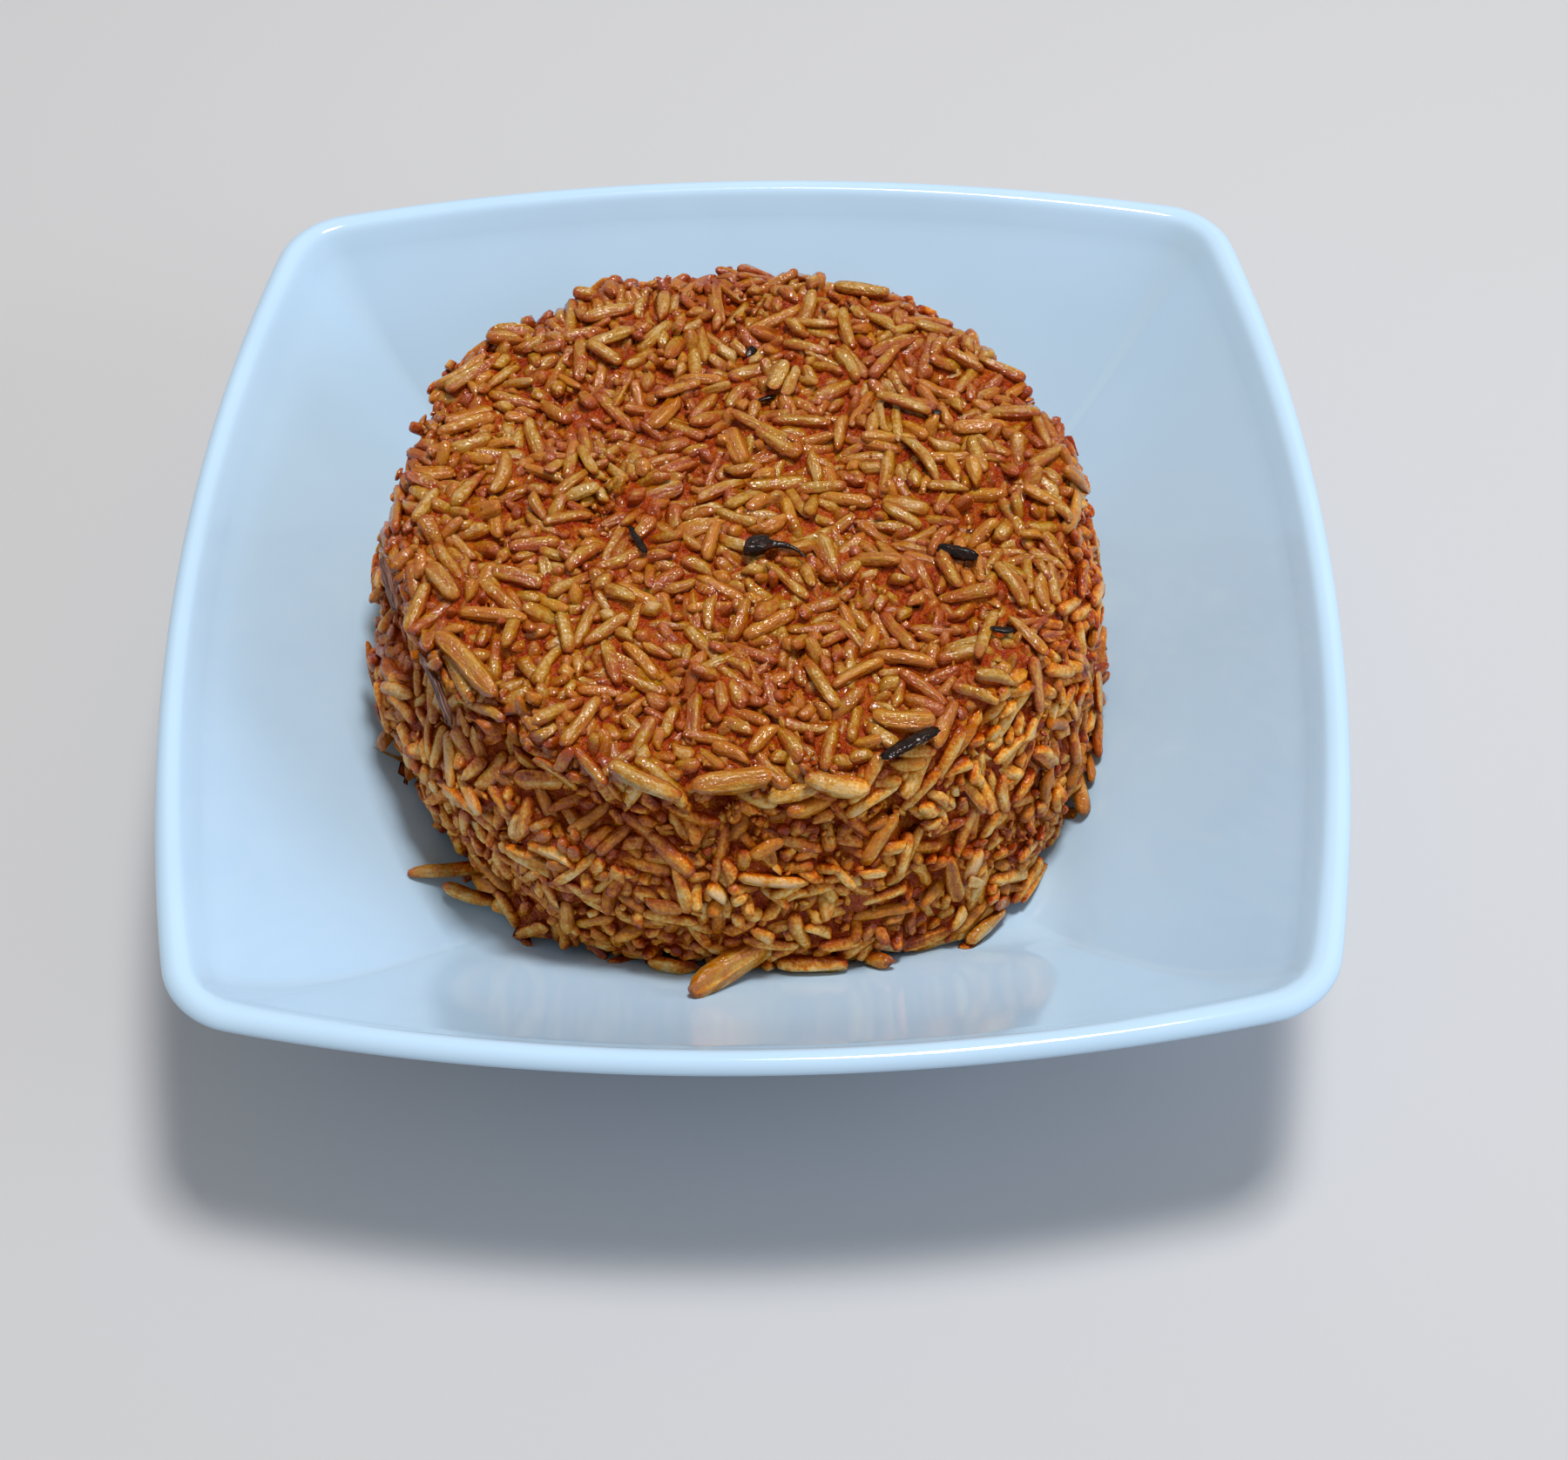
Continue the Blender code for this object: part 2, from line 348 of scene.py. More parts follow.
# %% [markdown]
# ## The recess under the top edge
#
# Below the top edge, from the left round to the front, the side fell away as the mould was lifted. The
# grains would bridge the CAD's shallow groove, so the limit that holds them is set further in there.

# %% Deepen the recess
RECESS_HEIGHT = 46.5 * MM  # of its middle
RECESS_HALF_HEIGHT = 6.0 * MM
RECESS_DEPTH = 1.7 * MM
RECESS_MIDDLE = math.radians(218)
RECESS_SPREAD = math.radians(58)
RECESS_AXIS = (-3 * MM, 3 * MM)  # the upright line that it runs round
RECESS_START = 45 * MM  # how far from that line it begins,
RECESS_RAMP = 6 * MM  # and over what distance it reaches its depth

grid_x, grid_y, grid_z = np.meshgrid(*grid_ticks, indexing="ij")
from_axis_x = grid_x - RECESS_AXIS[0]
from_axis_y = grid_y - RECESS_AXIS[1]
around = np.arctan2(from_axis_y, from_axis_x) - RECESS_MIDDLE
around = (around + np.pi) % (2 * np.pi) - np.pi
outer = np.clip((np.hypot(from_axis_x, from_axis_y) - RECESS_START) / RECESS_RAMP, 0, 1)
recess = np.exp(-((grid_z - RECESS_HEIGHT) / RECESS_HALF_HEIGHT) ** 4)
recess *= np.exp(-((around / RECESS_SPREAD) ** 4)) * outer
inside_grid -= RECESS_DEPTH * recess
field_grid = np.stack(
    [inside_grid, *np.gradient(inside_grid, GRID_STEP), under_grid, *np.gradient(under_grid, GRID_STEP)],
    axis=-1,
)


def read_fields(points):
    """At each point: depth in the whole skin and its way in, then the same for the seen skin."""
    where = (points - grid_low) / GRID_STEP
    where = np.clip(where, 0, grid_count - 1.001)
    cell = where.astype(int)
    part = where - cell
    total = 0.0
    for corner in np.ndindex(2, 2, 2):
        weight = np.prod(np.where(corner, part, 1 - part), axis=1)
        at = cell + corner
        total = total + weight[:, None] * field_grid[at[:, 0], at[:, 1], at[:, 2]]
    return total[:, 0], total[:, 1:4], total[:, 4], total[:, 5:8]


def unit(vectors):
    """Each row scaled to length one."""
    return vectors / np.maximum(np.linalg.norm(vectors, axis=1, keepdims=True), 1e-9)


print("recess", round(RECESS_DEPTH * recess.max() / MM, 2), "mm deep at most")

# %% [markdown]
# ## One grain of each kind
#
# A cooked grain of parboiled long rice is 7 to 11 mm long and 2.5 mm thick, nearly round, with
# blunt tapered ends. Boiling splits some grains along one side, where two swollen halves part, and
# stirring snaps others. Each kind is modelled once, one unit long and one unit thick, from a sphere
# whose rings are moved along and resized. The copies are given their real sizes later.

# %% Model the whole grain
RINGS = 8
RING_PLACES = (0.476, 0.408, 0.27, 0.0)  # rings from the tip to the middle, as shares of the length
RING_SIZES = (0.46, 0.81, 0.98, 1.0)  # and how thick each is, as a share of the middle
GROOVE = 0.87  # every second line of vertices along the grain is drawn in to this share,
GROOVE_REACH = 0.45  # up to this far from the middle


def new_grain(name, segments):
    """A sphere along X whose rings are moved and resized into the outline of a grain."""
    deselect_all()
    bpy.ops.mesh.primitive_uv_sphere_add(
        segments=segments, ring_count=RINGS, radius=0.5, rotation=(0, math.pi / 2, 0)
    )
    grain = bpy.context.object
    grain.name = grain.data.name = name
    bpy.ops.object.transform_apply(location=False, rotation=True, scale=False)
    for ring in range(1, RINGS):
        x = 0.5 * math.cos(math.pi * ring / RINGS)
        at = RINGS // 2 - 1 - abs(RINGS // 2 - ring)
        pick_vertices(grain, lambda v: abs(v.co.x - x) < 0.001)
        thickness = RING_SIZES[at] / math.sin(math.pi * ring / RINGS)
        bpy.ops.transform.resize(value=(1, thickness, thickness), center_override=(0, 0, 0))
        shift = math.copysign(RING_PLACES[at], x) - x if ring != RINGS // 2 else 0.0
        bpy.ops.transform.translate(value=(shift, 0, 0))
        bpy.ops.object.mode_set(mode="OBJECT")
    step = 2 * math.pi / segments
    pick_vertices(
        grain,
        lambda v: round(math.atan2(v.co.z, v.co.y) / step) % 2 == 1 and abs(v.co.x) < GROOVE_REACH,
    )
    bpy.ops.transform.resize(value=(1, GROOVE, GROOVE), center_override=(0, 0, 0))
    bpy.ops.object.mode_set(mode="OBJECT")
    return grain


whole_grain = new_grain("whole_grain", 8)
print("whole grain", len(whole_grain.data.polygons), "faces")

# %% Model the split grain
FISSURE_DEPTH = 0.20
FISSURE_REACH = 0.42  # how far it runs from the middle of the grain
LIP_REACH = 0.3
LIP_SWELL = (1.0, 1.25, 1.08)  # the halves beside it swell outwards

split_grain = new_grain("split_grain", 12)
pick_vertices(
    split_grain, lambda v: v.co.z > 0.3 and abs(v.co.y) < 0.02 and abs(v.co.x) < FISSURE_REACH
)
bpy.ops.transform.translate(value=(0, 0, -FISSURE_DEPTH))
pick_vertices(
    split_grain, lambda v: v.co.z > 0.2 and 0.1 < abs(v.co.y) < 0.3 and abs(v.co.x) < LIP_REACH
)
bpy.ops.transform.resize(value=LIP_SWELL, center_override=(0, 0, 0))
bpy.ops.object.mode_set(mode="OBJECT")
print("split grain", len(split_grain.data.polygons), "faces")

# %% Model the broken grains
CUT_TILT = 0.15  # how far the break leans upwards
CUT_RIM = 0.14  # the cut is inset by this,
CUT_BULGE = 0.07  # and its middle swells out by this


def snap(grain, place, slant):
    """Cuts off the end beyond a slanting plane and closes the cut."""
    edit_all(grain)
    away = (math.copysign(1, place), slant, CUT_TILT)
    bpy.ops.mesh.bisect(plane_co=(place, 0, 0), plane_no=away, use_fill=True, clear_outer=True)
    bpy.ops.mesh.inset(thickness=CUT_RIM, depth=CUT_BULGE)
    bpy.ops.object.mode_set(mode="OBJECT")


def fit_to_unit_length(grain):
    """Stretches a grain along X to run from -0.5 to 0.5 again."""
    reach = [vertex.co.x for vertex in grain.data.vertices]
    edit_all(grain)
    bpy.ops.transform.translate(value=(-(min(reach) + max(reach)) / 2, 0, 0))
    bpy.ops.transform.resize(value=(1 / (max(reach) - min(reach)), 1, 1), center_override=(0, 0, 0))
    bpy.ops.object.mode_set(mode="OBJECT")


broken_grain = new_grain("broken_grain", 8)
snap(broken_grain, 0.12, 0.30)
fit_to_unit_length(broken_grain)

stub_grain = new_grain("stub_grain", 8)
snap(stub_grain, 0.2, -0.25)
snap(stub_grain, -0.2, 0.2)
fit_to_unit_length(stub_grain)
print("broken", len(broken_grain.data.polygons), "and stub", len(stub_grain.data.polygons), "faces")

# %% [markdown]
# ## Odd things among the rice
#
# A pot of jollof also holds a few things that are not rice: a dark seed from the pepper or the spice,
# still on its curled stalk, thin strips of onion cooked until grey, and bits of onion skin that
# charred. The seed is a sphere whose end is drawn out in steps, as one would extrude a stalk by hand.
# A strip is a flattened, crumpled grain shape, since onion swells and softens in the same way, and
# the charred bits are smaller copies of it.

# %% Model the seed
SEED_SHARE = 0.42  # the round part's length beside a grain's,
SEED_SHIFT = -0.3  # and how far back it is moved to leave room for the stalk
STALK_ROOT = -0.1
STALK_THINNING = 0.4  # each end ring is flattened along the stalk to this share
STALK_STEPS = (  # how far each step goes ahead and aside, and how thick it is beside the last
    (0.10, 0.02, 0.75),
    (0.13, 0.07, 0.8),
    (0.14, 0.05, 0.9),
    (0.14, -0.06, 0.85),
    (0.12, -0.12, 0.7),
)

seed = new_grain("seed", 8)
edit_all(seed)
bpy.ops.transform.resize(value=(SEED_SHARE, 1.0, 1.0), center_override=(0, 0, 0))
bpy.ops.transform.translate(value=(SEED_SHIFT, 0, 0))
pick_vertices(seed, lambda v: v.co.x > STALK_ROOT - 0.01)
tip = Vector((STALK_ROOT, 0.0, 0.0))
for ahead, aside, share in STALK_STEPS:
    bpy.ops.mesh.extrude_region_move(TRANSFORM_OT_translate={"value": (ahead, aside, 0)})
    tip += Vector((ahead, aside, 0))
    bpy.ops.transform.resize(value=(STALK_THINNING, share, share), center_override=tip)
bpy.ops.object.mode_set(mode="OBJECT")
fit_to_unit_length(seed)
rounding = seed.modifiers.new("rounding", "SUBSURF")
rounding.levels = rounding.render_levels = 1
apply_all(seed)
print("seed", len(seed.data.polygons), "faces")

# %% Model the onion strip
STRIP_THICKNESS = 0.5  # as a share of its width
CRUMPLE = 0.06

onion_strip = new_grain("onion_strip", 12)
edit_all(onion_strip)
bpy.ops.transform.resize(value=(1.0, 1.0, STRIP_THICKNESS), center_override=(0, 0, 0))
bpy.ops.mesh.subdivide(number_cuts=1)
bpy.ops.transform.vertex_random(offset=CRUMPLE, seed=5)
bpy.ops.object.mode_set(mode="OBJECT")
print("onion strip", len(onion_strip.data.polygons), "faces")

# %% [markdown]
# ## Packing
#
# In the mould, grains were pushed together until each rested against its neighbours and the wall.
# The same is done here. Each grain is a row of five beads on a stiff line. All start at random places
# in the outer 8 mm of the heap, lying roughly along its surface, and overlap badly. Then, step by
# step, touching beads push each other apart, and the heap's skin pushes back what pokes out.
# A little overlap is left at the end, as cooked grains flatten where they touch.

# %% Grains placed one at a time
KINDS = ("whole", "split", "broken", "stub", "charred", "seed", "onion")

# Grains that slid to the foot, long ones along the top edge, and the odd things on the top.
# Kind, place in mm, heading and rise in degrees, length and width in mm, shade from 0 to 1.
PLACED_GRAINS = (
    ("split", (-3.7, -58.4, 22.0), 42, -9, 15.8, 5.0, 0.84),
    ("split", (8.6, -55.4, 17.6), -2, 2, 11.0, 3.2, 0.7),
    ("broken", (-12.6, -54.6, 16.8), -16, 9, 8.0, 3.0, 0.2),
    ("stub", (18.6, -54.4, 17.0), -32, 20, 5.5, 2.8, 0.8),
    ("whole", (-48.6, -35.6, 14.4), 16, -18, 12.5, 2.8, 0.2),
    ("whole", (-44.8, -38.6, 12.6), 0, -30, 9.5, 2.8, 0.3),
    ("whole", (35.6, -45.0, 11.6), 48, -10, 9.5, 2.8, 0.4),
    ("whole", (42.4, -36.4, 11.4), 58, 4, 9.5, 2.8, 0.6),
    ("broken", (51.2, -22.4, 16.4), 100, 20, 9.0, 3.0, 0.9),
    ("whole", (54.6, -12.0, 19.0), 92, 24, 10.5, 3.0, 0.8),
    ("broken", (55.6, 0.5, 22.0), 84, 30, 9.5, 3.0, 0.9),
    ("whole", (54.2, 12.0, 25.0), 100, 20, 10.0, 2.8, 0.6),
    ("stub", (-58.6, -15.0, 22.0), 70, -10, 6.0, 2.8, 1.0),
    ("split", (-41.4, -27.8, 56.4), -50, -5, 14.5, 3.3, 0.86),
    ("whole", (-14.8, -47.6, 54.4), -21, -14, 11.5, 2.9, 0.3),
    ("split", (-2.5, -47.8, 54.5), 7, 2, 11.5, 3.2, 0.9),
    ("whole", (12.4, -47.4, 52.9), 2, -20, 10.0, 2.9, 0.2),
    ("charred", (22.8, -42.2, 55.2), 30, 2, 9.6, 2.5, 0.4),
    ("charred", (31.0, -7.6, 56.7), -20, 4, 6.4, 1.9, 0.2),
    ("charred", (36.8, -22.8, 57.0), -10, 0, 3.4, 1.3, 0.0),
    ("charred", (2.3, 24.7, 57.0), 20, 0, 3.0, 1.5, 0.3),
    ("charred", (-17.1, -4.4, 56.9), -66, 6, 6.6, 1.4, 0.5),
    ("charred", (-0.2, 34.7, 57.3), 60, 0, 2.4, 1.4, 0.3),
    ("charred", (29.0, 21.2, 57.0), 0, 0, 1.6, 1.2, 0.3),
    ("seed", (3.6, -7.8, 57.3), -9, -3, 9.6, 3.4, 0.0),
    ("onion", (-46.4, -28.8, 51.8), -64, -24, 12.0, 3.2, 0.3),
    ("onion", (-54.3, -11.2, 55.0), -74, -3, 10.5, 1.7, 0.6),
)
PLACED = len(PLACED_GRAINS)
print(PLACED, "things are placed one at a time")

# %% Sizes of the grains to pack
SHARES = (0.40, 0.06, 0.30, 0.24, 0, 0, 0)  # of each kind, in the order of KINDS
GRAIN_LENGTHS = {  # in mm, the mean and the spread
    "whole": (8.6, 1.1),
    "split": (8.9, 1.0),
    "broken": (5.9, 1.1),
    "stub": (3.5, 0.8),
}
GRAIN_WIDTHS = {"whole": 2.5, "split": 2.9, "broken": 2.5, "stub": 2.35}  # in mm
WIDTH_SPREAD = 0.10
GRAIN_COUNT = 7900

rng = np.random.default_rng(7)
kind = rng.choice(len(KINDS), GRAIN_COUNT, p=SHARES)
length = np.zeros(GRAIN_COUNT)
width = np.zeros(GRAIN_COUNT)
for number, name in enumerate(GRAIN_LENGTHS):
    mean, spread = GRAIN_LENGTHS[name]
    chosen = kind == number
    length[chosen] = mean + spread * np.clip(rng.normal(size=chosen.sum()), -1.8, 2.4)
    oddness = WIDTH_SPREAD * np.clip(rng.normal(size=chosen.sum()), -2, 2)
    width[chosen] = GRAIN_WIDTHS[name] * (1 + oddness)
length *= MM
width *= MM
print(GRAIN_COUNT, "grains,", round(float(length.mean()) / MM, 1), "mm long on average")

# %% Scatter the grains
SHELL = 7.8 * MM  # how deep the layer of real grains goes
START_UNDER = 1.2 * MM  # they start at least this far under the seen skin,
START_INSIDE = 1.0 * MM  # and this far inside the whole one
TRIES = 8  # places tried for each that is wanted
FACES_UP = 0.7  # the way out points up by more than this on the top
SHALLOW = 2.5 * MM  # grains on the top that start nearer the skin than this tilt half as much
POKE_OUT = (-1.1, 0.6)  # in mm, how far a grain may stand out of the skin
POKE_OUT_SIDE = 0.8  # and that on the side, as a share
PROUD_SHARE = 0.10  # one grain in ten stands out
PROUD = 1.3 * MM  # by this much
CLUMP_SIZE = 10.0  # in mm, of the patches that stand out or lie low,
CLUMP_RISE = 2.3  # by this times a number from -1 to 1,
CLUMP_DROP = 0.2  # less this


def scatter(count):
    """Random points in the shell of the heap."""
    low, high = np.array(heap_low), np.array(heap_high)
    found = np.zeros((0, 3))
    while len(found) < count:
        tries = rng.uniform(low, high, (count * TRIES, 3))
        inside, _, under, _ = read_fields(tries)
        good = (under > START_UNDER) & (under < SHELL) & (inside > START_INSIDE)
        found = np.vstack([found, tries[good]])
    return found[:count]


def patches(points, size_mm, offset):
    """Smooth random numbers, about -1 to 1, that change over the given size."""
    return np.array([noise.noise(Vector(p) * per(size_mm) + Vector((offset, 0, 0))) for p in points])


centre = scatter(GRAIN_COUNT)
_, _, start_depth, way_in = read_fields(centre)
way_in = unit(way_in)
axis = rng.normal(size=(GRAIN_COUNT, 3))
axis -= way_in * np.sum(axis * way_in, axis=1, keepdims=True)
on_top = -way_in[:, 2] > FACES_UP
tip_up = np.where(on_top & (start_depth < SHALLOW), 0.5, 1.0) * rng.normal(size=GRAIN_COUNT)
axis = unit(unit(axis) + way_in * tip_up[:, None])
stick_out = rng.uniform(*POKE_OUT, GRAIN_COUNT) * np.where(on_top, 1.0, POKE_OUT_SIDE) * MM
stick_out[rng.random(GRAIN_COUNT) < PROUD_SHARE] = PROUD
stick_out += (CLUMP_RISE * patches(centre, CLUMP_SIZE, 2.0) - CLUMP_DROP) * MM
shade = rng.random(GRAIN_COUNT)
print(int(on_top.sum()), "of the grains start on the top")

# %% Put the placed ones in
for number, (name, place_mm, heading, rise, length_mm, width_mm, grain_shade) in enumerate(PLACED_GRAINS):
    heading, rise = math.radians(heading), math.radians(rise)
    kind[number] = KINDS.index(name)
    centre[number] = np.array(place_mm) * MM
    axis[number] = (math.cos(rise) * math.cos(heading), math.cos(rise) * math.sin(heading), math.sin(rise))
    length[number] = length_mm * MM
    width[number] = width_mm * MM
    shade[number] = grain_shade
free = np.arange(GRAIN_COUNT) >= PLACED
print(int(free.sum()), "grains are free to move")

# %% Beads
FLATNESS = 0.82  # a grain's thickness as a share of its width
BEADS = 5
BEAD_PLACES = np.linspace(0.0, 1.0, BEADS)
BEAD_SIZES = np.array([0.74, 0.95, 1.0, 0.95, 0.74])

radius = width * (1 + FLATNESS) / 4
bead_radius = radius[:, None] * BEAD_SIZES
bead_owner = np.repeat(np.arange(GRAIN_COUNT), BEADS)
core_length = length - 2 * radius * BEAD_SIZES[0]


def bead_points(centres, axes):
    """The middles of every grain's beads (grains, beads, 3)."""
    along = (BEAD_PLACES - 0.5)[None, :, None] * core_length[:, None, None]
    return centres[:, None, :] + axes[:, None, :] * along


def close_pairs(points, cell_size):
    """Pairs of points in the same or neighbouring cells of a grid, each pair once."""
    cell = np.floor((points - points.min(axis=0)) / cell_size).astype(np.int64) + 1
    span = cell.max(axis=0) + 2
    key = (cell[:, 0] * span[1] + cell[:, 1]) * span[2] + cell[:, 2]
    order = np.argsort(key, kind="stable")
    ordered = key[order]
    firsts, seconds = [], []
    for dx, dy, dz in [(x, y, z) for x in (-1, 0, 1) for y in (-1, 0, 1) for z in (-1, 0, 1)]:
        shift = (dx * span[1] + dy) * span[2] + dz
        if shift < 0:
            continue
        start = np.searchsorted(ordered, ordered + shift, side="left")
        stop = np.searchsorted(ordered, ordered + shift, side="right")
        many = stop - start
        first = np.repeat(np.arange(len(points)), many)
        offset = np.arange(many.sum()) - np.repeat(np.cumsum(many) - many, many)
        second = np.repeat(start, many) + offset
        if shift == 0:
            keep = second > first
            first, second = first[keep], second[keep]
        firsts.append(order[first])
        seconds.append(order[second])
    return np.concatenate(firsts), np.concatenate(seconds)


def push(points_count, index, vectors):
    """Adds up vectors by the point that each belongs to."""
    return np.stack([np.bincount(index, vectors[:, i], points_count) for i in range(3)], axis=1)


print(len(bead_owner), "beads")

# %% Pack
STEPS = 170
LIST_EVERY = 8  # steps between two searches for beads that are near each other
LIST_CELL = 3.4 * MM
REACH = 0.7 * MM  # near means with a gap of at most this
SOFTNESS = 0.86  # beads stop pushing at this share of the distance at which they touch
PUSH_APART = 0.32  # shares of the overlap, of what pokes out and of what is too deep
PUSH_IN = 0.8  # that one step puts right
LIFT = 0.5
OUTWARD = 0.012 * MM  # a pull towards the seen skin, which fades out
LONGEST_MOVE = 0.8 * MM
END_SHARE = 2.6  # an end moves by its beads' pushes over this, a little more than their mean

flat_radius = bead_radius.ravel()
lever = (1 - BEAD_PLACES) ** 2 + BEAD_PLACES**2
for step in range(STEPS):
    beads = bead_points(centre, axis).reshape(-1, 3)
    if step % LIST_EVERY == 0:
        one, two = close_pairs(beads, LIST_CELL + REACH)
        gap = np.linalg.norm(beads[one] - beads[two], axis=1) - flat_radius[one] - flat_radius[two]
        keep = (bead_owner[one] != bead_owner[two]) & (gap < REACH)
        one, two = one[keep], two[keep]
    apart = beads[one] - beads[two]
    distance = np.maximum(np.linalg.norm(apart, axis=1), 1e-6)
    overlap = np.maximum(SOFTNESS * (flat_radius[one] + flat_radius[two]) - distance, 0)
    shove = apart * (PUSH_APART * overlap / distance)[:, None]
    move = push(len(beads), one, shove) - push(len(beads), two, shove)
    inside, skin_in, under, seen_in = read_fields(beads)
    outside = np.maximum(flat_radius - np.repeat(stick_out, BEADS) - inside, 0)
    move += unit(skin_in) * (PUSH_IN * outside)[:, None]
    too_deep = np.maximum(under - SHELL, 0)
    move -= unit(seen_in) * (LIFT * too_deep + OUTWARD * (1 - step / STEPS))[:, None]
    move = move.reshape(GRAIN_COUNT, BEADS, 3)
    move_length = np.maximum(np.linalg.norm(move, axis=2, keepdims=True), 1e-9)
    move *= np.minimum(1, LONGEST_MOVE / move_length)
    half_core = axis * (core_length / 2)[:, None]
    tail_move = np.sum(move * ((1 - BEAD_PLACES) / lever)[None, :, None], axis=1) / END_SHARE
    head_move = np.sum(move * (BEAD_PLACES / lever)[None, :, None], axis=1) / END_SHARE
    tail = centre - half_core + tail_move
    head = centre + half_core + head_move
    centre = np.where(free[:, None], (tail + head) / 2, centre)
    axis = np.where(free[:, None], unit(head - tail), axis)

print("left overlap", round(float(np.mean(overlap)) / MM, 3), "mm on", len(one), "pairs")

# %% [markdown]
# ## The grains as meshes
#
# No two cooked grains are alike. Each copy gets its own length, width and thickness, bends a little
# along its length, and has a cross-section pressed slightly out of round, which turns as it goes
# along. Grains at the wall are pressed flat there, and grains at the foot rest on the plate. All
# grains of one kind become one mesh. Each vertex also keeps what the cooked-rice material will use:
# its place on its own grain, the grain's shade, how deep it lies in the heap, how much it faces out,
# and whether it is on the side of the heap or on the top.

# %% Rest on the plate
WALL_REACH = 35.0 * MM  # no grain above this height is near the plate
CONTACT = 0.05 * MM

plate_skin = BVHTree.FromPolygons(
    [vertex.co.copy() for vertex in plate.data.vertices],
    [tuple(face.vertices) for face in plate.data.polygons],
)


def lift_onto_plate(points):
    """Raises the points that are under the plate's upper surface to just above it."""
    for index in np.flatnonzero(points[:, 2] < WALL_REACH):
        x, y, z = points[index]
        glaze_here = plate_skin.ray_cast(Vector((x, y, plate_high.z)), Vector((0, 0, -1)))[0]
        points[index, 2] = max(z, glaze_here.z + CONTACT)


print("plate skin of", len(plate.data.polygons), "faces to rest on")

# %% Copy grains
def template_arrays(obj):
    """A template's vertices, and its faces as flat lists of corners and face sizes."""
    points = np.array([vertex.co for vertex in obj.data.vertices])
    corners = np.array([v for face in obj.data.polygons for v in face.vertices])
    sizes = np.array([len(face.vertices) for face in obj.data.polygons])
    return points, corners, sizes


def joined_copies(name, template, points):
    """One mesh made of the template's faces for each row of points (copies, vertices, 3)."""
    _, corners, sizes = template_arrays(template)
    copies, per_copy = points.shape[:2]
    mesh = bpy.data.meshes.new(name)
    mesh.vertices.add(copies * per_copy)
    mesh.vertices.foreach_set("co", points.reshape(-1).astype(np.float32))
    all_corners = (corners[None, :] + np.arange(copies)[:, None] * per_copy).reshape(-1)
    all_sizes = np.tile(sizes, copies)
    mesh.loops.add(len(all_corners))
    mesh.loops.foreach_set("vertex_index", all_corners.astype(np.int32))
    mesh.polygons.add(len(all_sizes))
    mesh.polygons.foreach_set("loop_start", (np.cumsum(all_sizes) - all_sizes).astype(np.int32))
    mesh.update(calc_edges=True)
    mesh.validate()
    obj = bpy.data.objects.new(name, mesh)
    bpy.context.scene.collection.objects.link(obj)
    make_active(obj)
    bpy.ops.object.shade_smooth()
    return obj


def keep_numbers(obj, **numbers):
    """Stores one number at each vertex under each name."""
    for name, values in numbers.items():
        attribute = obj.data.attributes.new(name, "FLOAT", "POINT")
        attribute.data.foreach_set("value", np.asarray(values, np.float32).reshape(-1))


# %% Shape the copies
PRESS_DEPTH = -0.45 * MM  # grains on the side are pressed flat 0.45 mm outside the skin, by the mould
TOP_CLEARANCE = 0.02 * MM
BOW_RISE = 0.6  # bends up or down are weaker than bends aside by this share
TWIST = 1.2  # radians by which the dents shift round from end to end, as a spread
TAPER = 0.22  # how much thicker one end is than the other, as a spread


